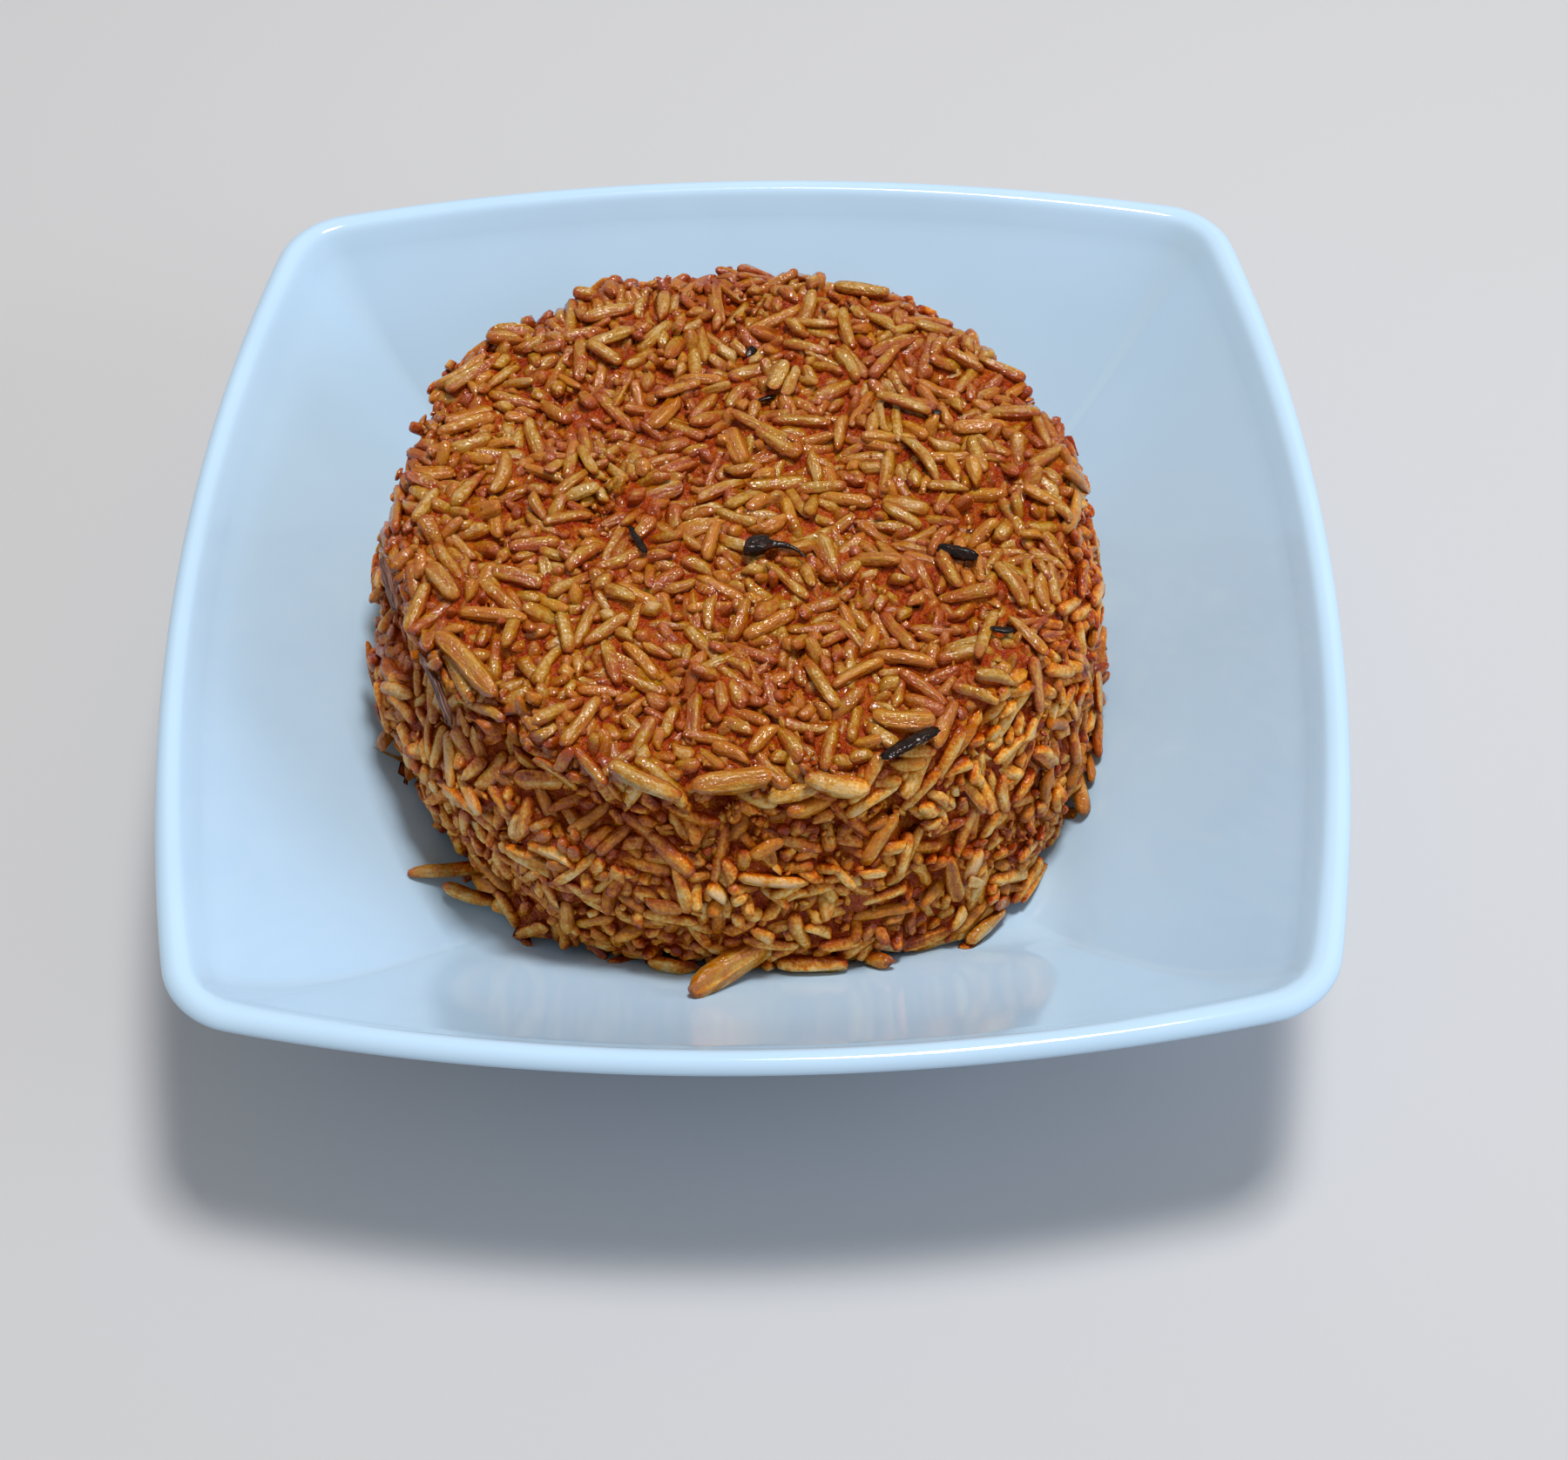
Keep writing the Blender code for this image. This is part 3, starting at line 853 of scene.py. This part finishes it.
def shaped_copies(name, template, centres, axes, crowns, lengths, widths, bends, shades, pressed):
    """Joined copies of a grain, each with its own place, size, bend and dents."""
    local, _, _ = template_arrays(template)
    count = len(centres)
    sides = np.cross(crowns, axes)
    x = local[None, :, 0]
    turn = np.arctan2(local[:, 2], local[:, 1])[None, :]
    roll = rng.uniform(0, 2 * np.pi, (count, 4))
    twist = rng.normal(size=(count, 1)) * TWIST
    # Waves round the grain and along it, and roughness, all as shares of its width.
    dents = 0.07 * np.sin(2 * turn + roll[:, :1] + twist * x)
    dents += 0.05 * np.sin(3 * turn + roll[:, 1:2] - 3.0 * x)
    dents += 0.07 * np.sin(3.0 * x + roll[:, 2:3]) + 0.035 * np.sin(turn + 12.0 * x + roll[:, 3:4])
    dents += 0.06 * rng.normal(size=dents.shape)
    taper = TAPER * rng.normal(size=(count, 1)) * x
    swell = (1 + dents + taper) * widths[:, None]
    along = x * lengths[:, None]
    across = local[None, :, 1] * swell
    above = local[None, :, 2] * swell * FLATNESS
    bow = lengths[:, None] * bends[:, None] * (0.25 - x * x) * 4
    lean = rng.uniform(-0.8, 0.8, (count, 1))
    across = across + bow * lean
    above = above - bow * (1 - np.abs(lean)) * BOW_RISE
    points = (
        centres[:, None, :]
        + axes[:, None, :] * along[:, :, None]
        + sides[:, None, :] * across[:, :, None]
        + crowns[:, None, :] * above[:, :, None]
    )
    flat = points.reshape(-1, 3)
    by_wall = np.repeat(pressed, len(local))
    for _ in range(2):
        inside, skin_in, _, _ = read_fields(flat)
        skin_in = unit(skin_in)
        side_on = np.clip(1.4 - 2.0 * np.abs(skin_in[:, 2]), 0, 1) * by_wall
        flat = flat + skin_in * (np.maximum(PRESS_DEPTH - inside, 0) * side_on)[:, None]
    flat[:, 2] = np.minimum(flat[:, 2], heap_high.z - TOP_CLEARANCE)
    lift_onto_plate(flat)
    points = flat.reshape(points.shape)
    made = joined_copies(name, template, points)
    _, _, depth, way_in = read_fields(flat)
    spokes = (
        sides[:, None, :] * local[None, :, 1:2] + crowns[:, None, :] * local[None, :, 2:3]
    ).reshape(-1, 3)
    way_in = unit(way_in)
    facing = -2 * np.sum(spokes * way_in, axis=1)
    own = np.stack([along + 0 * across, across, above], axis=2) + rng.uniform(0, 1, (count, 1, 3))
    attribute = made.data.attributes.new("own", "FLOAT_VECTOR", "POINT")
    attribute.data.foreach_set("vector", own.reshape(-1).astype(np.float32))
    # depth and facing also paint shade into the rice colour: darker deeper in and where a grain faces into
    # the heap
    keep_numbers(
        made,
        side=np.clip(1.3 + 1.6 * way_in[:, 2], 0, 1),
        shade=np.repeat(shades, len(local)),
        depth=depth / MM,
        facing=facing,
    )
    return made


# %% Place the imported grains
LAST_SEEN = 4.3 * MM  # grains deeper than this can't be seen, and are left out
STRAY = -2.5 * MM  # a packed grain that ended further outside the heap than this is left out too
ROLL_SPREAD = 0.5  # radians
BEND_SPREAD = 0.08  # as a share of the length

inside_now, _, depth_now, way_in = read_fields(centre)
in_place = (depth_now < LAST_SEEN) & ((inside_now > STRAY) | ~free)
outward = -unit(way_in)
crown = outward - axis * np.sum(outward * axis, axis=1, keepdims=True)
crown = unit(crown + 1e-6)
spin = rng.normal(size=GRAIN_COUNT)[:, None] * ROLL_SPREAD
crown = unit(crown * np.cos(spin) + np.cross(axis, crown) * np.sin(spin))
bend = BEND_SPREAD * rng.normal(size=GRAIN_COUNT)

PIECES = {
    "whole": ("whole_grains", whole_grain),
    "split": ("split_grains", split_grain),
    "broken": ("broken_grains", broken_grain),
    "stub": ("stub_grains", stub_grain),
    "charred": ("charred_bits", onion_strip),
    "seed": ("spice_seed", seed),
    "onion": ("onion_strips", onion_strip),
}


def place_grains(name, which):
    """The grains of one kind among the chosen ones, as one piece."""
    chosen = (kind == KINDS.index(name)) & in_place & which
    piece = shaped_copies(
        *PIECES[name],
        centre[chosen],
        axis[chosen],
        crown[chosen],
        length[chosen],
        width[chosen],
        bend[chosen],
        shade[chosen],
        free[chosen],
    )
    print(piece.name, int(chosen.sum()), "grains,", len(piece.data.polygons), "faces")
    return piece


packed_pieces = [place_grains(name, free) for name in GRAIN_LENGTHS]
slid_pieces = [place_grains(name, ~free) for name in GRAIN_LENGTHS]
odd_pieces = [place_grains(name, ~free) for name in ("charred", "seed", "onion")]

# %% [markdown]
# ## The grains that slid
#
# The grains placed one at a time are of four kinds but were set down together: most slid to the foot
# when the mould came off, and four long ones lie along the top edge. They are joined into one piece,
# so that one can find and move them as a group.

# %% Join the grains placed one at a time
make_active(slid_pieces[0])
for piece in slid_pieces:
    piece.select_set(True)
bpy.ops.object.join()
slid = bpy.context.object
slid.name = slid.data.name = "slid_grains"
print(slid.name, len(slid.data.polygons), "faces")
rice_pieces = [*packed_pieces, slid, *odd_pieces]

# %% [markdown]
# ## The core
#
# Under the outer grains lies more rice, stuck together by its sauce, of which only wet dark glimpses
# show through the gaps. The core is a cone frustum a few millimetres smaller than the heap, kept only
# where it lies inside the CAD heap, so that it sits on the plate in the same way. Its skin is remeshed
# into small even faces, ready to be joined with the grains.

# %% Model the core
CORE_VOXEL = 1.0 * MM
CORE_TOP_RADIUS = 47.5 * MM
CORE_FOOT_RADIUS = 54.5 * MM
CORE_TOP_Z = 51.0 * MM
CORE_CENTRE = (-2.6 * MM, 3.0 * MM)


def add_voxels(obj, size):
    """Remakes the skin in even faces of this size, as one closed surface."""
    voxels = obj.modifiers.new("voxels", "REMESH")
    voxels.mode = "VOXEL"
    voxels.voxel_size = size


heap_copy = copy_of_node("rice_heap", "heap_copy")
deselect_all()
bpy.ops.mesh.primitive_cone_add(
    vertices=96,
    radius1=CORE_FOOT_RADIUS,
    radius2=CORE_TOP_RADIUS,
    depth=CORE_TOP_Z,
    location=(*CORE_CENTRE, CORE_TOP_Z / 2),
)
core = bpy.context.object
core.name = core.data.name = "sauced_core"
bpy.ops.object.transform_apply(location=True, rotation=False, scale=False)
inside_heap = core.modifiers.new("inside_heap", "BOOLEAN")
inside_heap.operation = "INTERSECT"
inside_heap.object = heap_copy
apply_all(core)
bpy.data.objects.remove(heap_copy)
add_voxels(core, CORE_VOXEL)
apply_all(core)
print("core", len(core.data.polygons), "faces")

# %% [markdown]
# ## The coat of sauce
#
# Sauce creeps into every crease between grains and rounds it off. Copies of the grains are joined to
# the core, swelled until the narrow creases close, and shrunk again to under the grains' own surface:
# only what filled the creases stays in sight. Patches that are drawn in further stay open, down to a
# plainer copy of the core, the heart, that closes them from behind.

# %% Coat the grains with sauce
SKIN_VOXEL = 0.98 * MM
SKIN_SWELL = 0.6 * MM
SKIN_TOP = heap_high.z - 0.8 * MM
SKIN_SHRINK = 1.6 * MM
HEART_VOXEL = 2.2 * MM
DRAWN_IN = 1.8 * MM  # at most, in patches 6 mm wide
DRAWN_IN_MEAN = 0.9 * MM
GRIT = 0.7 * MM  # at most, in patches 1 mm wide
GRIT_MEAN = 0.35 * MM


def add_offset(obj, distance, pattern_mm=None):
    """Moves the skin out by a distance, everywhere or in patches of a given size."""
    offset = obj.modifiers.new("offset", "DISPLACE")
    offset.strength = distance
    offset.mid_level = 0.0
    if pattern_mm:
        offset.texture = bpy.data.textures.new("pattern", "CLOUDS")
        offset.texture.noise_scale = pattern_mm * MM
        offset.texture_coords = "LOCAL"


make_active(core)
bpy.ops.object.duplicate()
heart = bpy.context.object
add_voxels(heart, HEART_VOXEL)
apply_all(heart)

deselect_all()
for piece in packed_pieces:
    piece.select_set(True)
bpy.context.view_layer.objects.active = packed_pieces[0]
bpy.ops.object.duplicate()
core.select_set(True)
bpy.context.view_layer.objects.active = core
bpy.ops.object.join()

add_voxels(core, SKIN_VOXEL)
add_offset(core, SKIN_SWELL)
add_voxels(core, SKIN_VOXEL)
add_offset(core, -SKIN_SHRINK)
add_offset(core, -DRAWN_IN, pattern_mm=6.0)
add_offset(core, DRAWN_IN_MEAN)
add_offset(core, GRIT, pattern_mm=1.0)
add_offset(core, -GRIT_MEAN)
apply_all(core)
pick_vertices(core, lambda v: v.co.z > SKIN_TOP)
bpy.ops.transform.resize(value=(1, 1, 0), center_override=(0, 0, SKIN_TOP))
bpy.ops.object.mode_set(mode="OBJECT")
make_active(core)
heart.select_set(True)
bpy.ops.object.join()
bpy.ops.object.shade_smooth()
print("sauce skin", len(core.data.polygons), "faces")

# %% [markdown]
# ## Crumbs
#
# Grains that burst while cooking leave soft crumbs, which stick in the gaps in patches, and turn
# the sauce there into a rough mash. One crumb is a coarse sphere pushed out of round. Copies of it,
# 0.6 to 1.6 mm wide, are dropped into the shell and kept where they lie in a gap beside a grain.

# %% Model a crumb
CRUMB_LUMPS = 0.22

deselect_all()
bpy.ops.mesh.primitive_uv_sphere_add(segments=6, ring_count=5, radius=0.5)
crumb = bpy.context.object
crumb.name = crumb.data.name = "crumb"
edit_all(crumb)
bpy.ops.transform.vertex_random(offset=CRUMB_LUMPS, seed=3)
bpy.ops.object.mode_set(mode="OBJECT")
print("crumb", len(crumb.data.polygons), "faces")

# %% Place the crumbs
CRUMB_TRIES = 60000
CRUMB_LIMIT = 3000
CRUMB_DEPTH = 3.4 * MM
CRUMB_GAP = (-0.45 * MM, 0.9 * MM)  # from a crumb's middle to the nearest grain
CRUMB_PATCH = 9.0  # in mm
CRUMB_SCATTER = 0.25  # how ragged the patches are,
CRUMB_BAR = 0.12  # and how much of the rice is left bare

spots = scatter(CRUMB_TRIES)
spots = spots[read_fields(spots)[2] < CRUMB_DEPTH]
beads = bead_points(centre, axis).reshape(-1, 3)
bead_tree = KDTree(len(beads))
for index, point in enumerate(beads):
    bead_tree.insert(point, index)
bead_tree.balance()
clearance = np.zeros(len(spots))
for index, point in enumerate(spots):
    clearance[index] = min(found[2] - flat_radius[found[1]] for found in bead_tree.find_n(point, 3))
in_patch = patches(spots, CRUMB_PATCH, 5.0)
wanted = (clearance > CRUMB_GAP[0]) & (clearance < CRUMB_GAP[1])
wanted &= in_patch + CRUMB_SCATTER * rng.normal(size=len(spots)) > CRUMB_BAR
spots = spots[wanted][:CRUMB_LIMIT]
crumb_count = len(spots)
crumb_size = (0.6 + 1.0 * rng.random(crumb_count) ** 2) * MM
crumb_axis = unit(rng.normal(size=(crumb_count, 3)))
crumb_crown = unit(np.cross(crumb_axis, rng.normal(size=(crumb_count, 3))))
crumbs = shaped_copies(
    "rice_crumbs",
    crumb,
    spots,
    crumb_axis,
    crumb_crown,
    crumb_size * rng.uniform(1.0, 2.2, crumb_count),
    crumb_size,
    np.zeros(crumb_count),
    rng.random(crumb_count),
    np.ones(crumb_count),
)
rice_pieces.append(crumbs)
print("crumbs", crumb_count, "in", len(crumbs.data.polygons), "faces")

# %% [markdown]
# ## Cooked rice
#
# Parboiled rice is starch swollen with water, tinted by tomato and red palm or vegetable oil. It
# passes a little light, so thin ends glow amber where the thick middle stays pale. Sauce
# dries onto it in orange and brick-red smears a few millimetres wide, and collects in the gaps. A
# thin film of oil makes the top grains shine, while the sides, wiped by the mould, are duller.
# Shade is painted into the colour as well: the face of each grain that turns into the heap, where
# the grains shade each other, is painted darker and more orange, and so is rice that lies deeper.
# The grains of the side are painted paler than those of the top, partly because the mould wiped
# them and partly as painted light, since the sides get less light than the top.

# %% Stains and painted shade on the rice
rice, tree = new_material("jollof_rice_grain")
place = add_node(tree, "TexCoord", output="Object")
own = add_node(tree, "Attribute", output="Vector", attribute_name="own")
shade_of, depth_of, facing_of, side_of = [
    add_node(tree, "Attribute", output="Fac", attribute_name=name)
    for name in ("shade", "depth", "facing", "side")
]


def sum_of(*terms):
    """Adds up outputs or numbers, each with its weight, as pairs (value, weight)."""
    total = None
    for value, weight in terms:
        part = add_node(tree, "Math", {0: value, 1: weight}, operation="MULTIPLY")
        total = part if total is None else add_node(tree, "Math", {0: total, 1: part})
    return total


drawn_out = add_node(tree, "VectorMath", {0: own, 1: (0.5, 1.0, 1.0)}, operation="MULTIPLY")
broad = add_node(tree, "TexNoise", {"Vector": place, "Scale": per(13.0)})
smear = add_node(
    tree, "TexNoise", {"Vector": place, "Scale": per(3.4), "Roughness": 0.6, "Distortion": 0.5}
)
streak = add_node(tree, "TexNoise", {"Vector": drawn_out, "Scale": per(0.9), "Roughness": 0.6})
speck = add_node(tree, "TexNoise", {"Vector": place, "Scale": per(0.5), "Detail": 1.0})
# painted shade: the facing and depth weights make grain faces that turn into the heap, and deeper rice,
# darker and more orange
stain_and_shade = sum_of(
    (smear, 1.15),
    (streak, 0.5),
    (speck, 0.7),
    (broad, 0.8),
    (shade_of, 0.34),
    (depth_of, 0.06),
    (facing_of, -0.54),
    (1.0, -0.87),
)

# %% Colours of the rice
TOP_COLOURS = [
    (0.08, "#b49056"),
    (0.28, "#a87a1a"),
    (0.48, "#a06400"),
    (0.70, "#9e4c02"),
    (0.98, "#8c3400"),
]
# Paler than the top's, partly for the wiped grains of the side and partly as painted light for the weaker
# light on the sides
SIDE_AND_PAINTED_LIGHT_COLOURS = [
    (0.08, "#e8c08c"),
    (0.30, "#e0ae58"),
    (0.48, "#d88c24"),
    (0.70, "#c06204"),
    (0.98, "#842800"),
]
BLACK, GREY, PALE_GREY, WHITE = "#000000", "#808080", "#9a9a9a", "#ffffff"

top_colour = add_node(tree, "ValToRGB", {"Fac": stain_and_shade}, stops=TOP_COLOURS)
# the side's colours carry painted light as well as the paler wiped grains
side_and_painted_light_colour = add_node(tree, "ValToRGB", {"Fac": stain_and_shade}, stops=SIDE_AND_PAINTED_LIGHT_COLOURS)
red_noise = add_node(
    tree,
    "TexNoise",
    {"Vector": place, "Scale": per(6.0), "Detail": 3.0, "Roughness": 0.7, "Distortion": 0.8},
)
red_patch = add_node(tree, "ValToRGB", {"Fac": red_noise}, stops=[(0.56, BLACK), (0.68, WHITE)])
in_creases = sum_of((facing_of, -0.35), (1.0, 0.5))
red = add_node(tree, "Math", {0: red_patch, 1: in_creases}, operation="MULTIPLY")
golden = add_node(tree, "ValToRGB", {"Fac": shade_of}, stops=[(0.76, BLACK), (0.90, PALE_GREY)])
soaked = add_node(tree, "ValToRGB", {"Fac": shade_of}, stops=[(0.04, GREY), (0.12, BLACK)])
colour = top_colour
for amount, other in (
    (side_of, side_and_painted_light_colour),
    (red, linear("#a03c06")),
    (golden, linear("#ca8a1c")),
    (soaked, linear("#a85008")),
):
    colour = add_node(tree, "Mix", {0: amount, 6: colour, 7: other}, output=2, data_type="RGBA")

# %% Relief and shine of the rice
lengthwise = add_node(tree, "VectorMath", {0: own, 1: (0.2, 1.0, 1.0)}, operation="MULTIPLY")
fine = add_node(tree, "TexNoise", {"Vector": place, "Scale": per(0.4), "Detail": 1.0})
ridges = add_node(tree, "TexNoise", {"Vector": lengthwise, "Scale": per(0.9), "Detail": 1.0})
relief = sum_of((fine, 0.25), (ridges, 0.8))
bump = add_node(tree, "Bump", {"Height": relief, "Strength": 1.0, "Distance": 0.0005})
beading = add_node(tree, "TexNoise", {"Vector": place, "Scale": per(0.6), "Detail": 1.0})
oil_bump = add_node(
    tree, "Bump", {"Height": beading, "Strength": 1.0, "Distance": 0.0004, "Normal": bump}
)
gloss = add_node(tree, "ValToRGB", {"Fac": streak}, stops=[(0.35, "#606060"), (0.7, "#909090")])
finish_material(
    tree,
    {
        "Base Color": colour,
        "Roughness": gloss,
        "Specular IOR Level": 0.1,
        "Normal": bump,
        "Coat Weight": sum_of((1.0, 1.0), (side_of, -0.7)),
        "Coat Roughness": 0.11,
        "Coat IOR": 1.63,
        "Coat Normal": oil_bump,
        "Subsurface Weight": 0.3,
        "Subsurface Radius": (1.0, 0.38, 0.12),
        "Subsurface Scale": 0.0014,
    },
)

# %% [markdown]
# ## Tomato sauce
#
# Tomato, pepper and oil cooked down to a thick red-brown film over mashed rice. It is wet, so it
# shines, and grit under it 0.7 mm across breaks the shine up. Blotches show where it is thin.

# %% Sauce material
SAUCE_COLOURS = [(0.34, "#761400"), (0.50, "#983400"), (0.64, "#ae5e0c")]

sauce, tree = new_material("tomato_sauce_film")
place = add_node(tree, "TexCoord", output="Object")
blotch = add_node(
    tree, "TexNoise", {"Vector": place, "Scale": per(2.6), "Detail": 4.0, "Roughness": 0.8}
)
colour = add_node(tree, "ValToRGB", {"Fac": blotch}, stops=SAUCE_COLOURS)
grit = add_node(tree, "TexNoise", {"Vector": place, "Scale": per(0.7)})
bump = add_node(tree, "Bump", {"Height": grit, "Strength": 1.0, "Distance": 0.0009})
finish_material(
    tree, {"Base Color": colour, "Roughness": 0.24, "Specular IOR Level": 0.2, "Normal": bump}
)

# %% [markdown]
# ## Charred skin
#
# Burnt onion skin and spice: carbon-black with a purple-brown cast, wrinkled and glossy with oil.

# %% Charred material
CHAR_COLOURS = [(0.35, "#0a0403"), (0.55, "#1a0a06"), (0.7, "#381810")]

charred, tree = new_material("charred_skin")
place = add_node(tree, "TexCoord", output="Object")
scorch = add_node(tree, "TexNoise", {"Vector": place, "Scale": per(1.2)})
colour = add_node(tree, "ValToRGB", {"Fac": scorch}, stops=CHAR_COLOURS)
wrinkles = add_node(tree, "TexNoise", {"Vector": place, "Scale": per(0.8)})
bump = add_node(tree, "Bump", {"Height": wrinkles, "Strength": 1.0, "Distance": 0.0003})
finish_material(
    tree, {"Base Color": colour, "Roughness": 0.22, "Specular IOR Level": 0.3, "Normal": bump}
)

# %% [markdown]
# ## Cooked onion
#
# Onion cooked soft is translucent cell walls, stained mauve-grey by the sauce, with fine fibres that
# run along the strip. The fibre pattern is the grain's own space stretched lengthwise.

# %% Onion material
ONION_COLOURS = [(0.3, "#3c2018"), (0.5, "#66443a"), (0.7, "#8a685c")]

onion, tree = new_material("cooked_onion")
own = add_node(tree, "Attribute", output="Vector", attribute_name="own")
lengthwise = add_node(tree, "VectorMath", {0: own, 1: (0.2, 1.0, 1.0)}, operation="MULTIPLY")
fibres = add_node(tree, "TexNoise", {"Vector": lengthwise, "Scale": per(0.5)})
colour = add_node(tree, "ValToRGB", {"Fac": fibres}, stops=ONION_COLOURS)
bump = add_node(tree, "Bump", {"Height": fibres, "Strength": 1.0, "Distance": 0.0006})
finish_material(
    tree,
    {
        "Base Color": colour,
        "Roughness": 0.4,
        "Normal": bump,
        "Subsurface Weight": 0.3,
        "Subsurface Radius": (1.0, 0.6, 0.5),
        "Subsurface Scale": 0.001,
    },
)

# %% Give each piece its material
special = {"charred_bits": charred, "spice_seed": charred, "onion_strips": onion}
for piece in rice_pieces:
    piece.data.materials.append(special.get(piece.name, rice))
core.data.materials.append(sauce)

# %% [markdown]
# ## Attach
#
# Everything rides on the one body.

# %% Attach and finish
for piece in [*rice_pieces, core]:
    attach(piece, "root")
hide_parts("rice_heap")
print(len(rice_pieces) + 1, "pieces of rice and sauce")
for template in (whole_grain, split_grain, broken_grain, stub_grain, seed, onion_strip, crumb):
    bpy.data.objects.remove(template)
